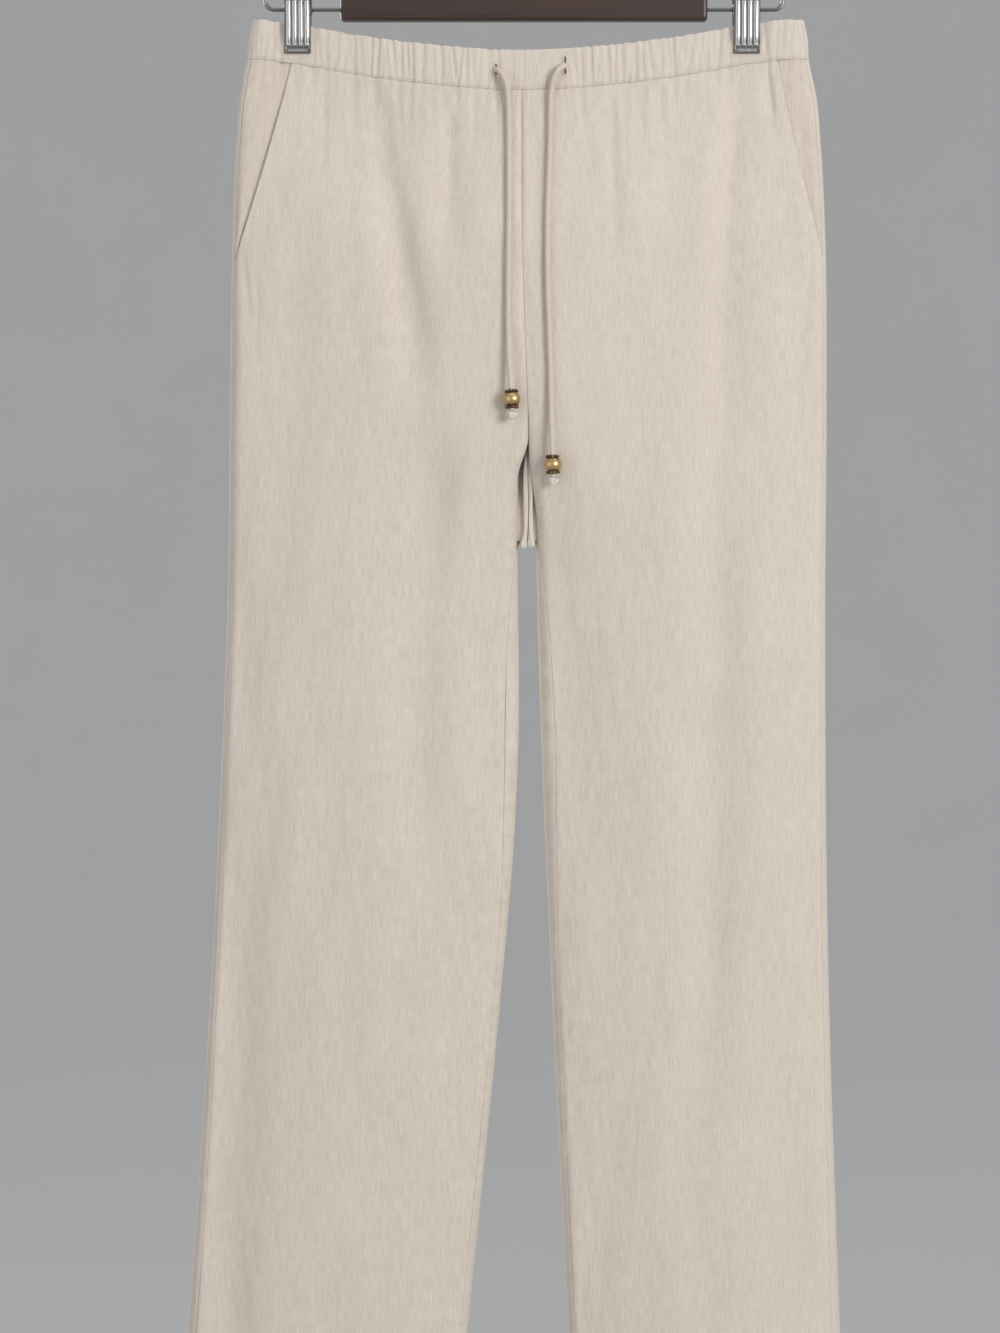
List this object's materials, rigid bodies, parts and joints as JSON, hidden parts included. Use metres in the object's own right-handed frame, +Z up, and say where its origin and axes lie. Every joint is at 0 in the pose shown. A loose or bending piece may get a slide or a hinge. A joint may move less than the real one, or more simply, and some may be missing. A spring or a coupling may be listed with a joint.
{
  "type": "drawstring trousers on a clip hanger",
  "caption": "Straight wide-leg linen trousers with a gathered waistband and beaded drawstring, hanging flat from a wooden clip hanger.",
  "frame": {"origin": "inside top of the hanger's hook, where it rests on a rail", "axes": "+Z up, the front of the garment towards -Y, the wearer's left towards +X"},
  "size_m": [0.5294, 0.0665, 1.227],
  "materials": {
    "linen": "plain slubbed linen weave, matte",
    "linen_facing": "plain slubbed linen weave, matte",
    "cord_cloth": "round cord of the same linen, matte",
    "antique_brass": "darkened brass, worn bright on the belly",
    "dark_wood": "dark stained, satin lacquer",
    "nickel_steel": "polished nickel plate"
  },
  "bodies": {
    "root": {"front_right": "linen", "front_left": "linen", "back_right": "linen", "back_left": "linen", "waistband_front": "linen", "waistband_back": "linen", "pocket_facing_right": "linen_facing", "pocket_facing_left": "linen_facing", "crotch_extension_right": "linen", "crotch_extension_left": "linen", "drawstring_right": "cord_cloth", "drawstring_left": "cord_cloth", "knot_right": "cord_cloth", "knot_left": "cord_cloth", "bead_right": "antique_brass", "bead_left": "antique_brass", "hanger_bar": "dark_wood", "hanger_hook": "nickel_steel", "hanger_loop_right": "nickel_steel", "hanger_loop_left": "nickel_steel", "clip_right_front_jaw": "nickel_steel", "clip_right_back_jaw": "nickel_steel", "clip_right_spring": "nickel_steel", "clip_left_front_jaw": "nickel_steel", "clip_left_back_jaw": "nickel_steel", "clip_left_spring": "nickel_steel"}
  },
  "joints": []
}
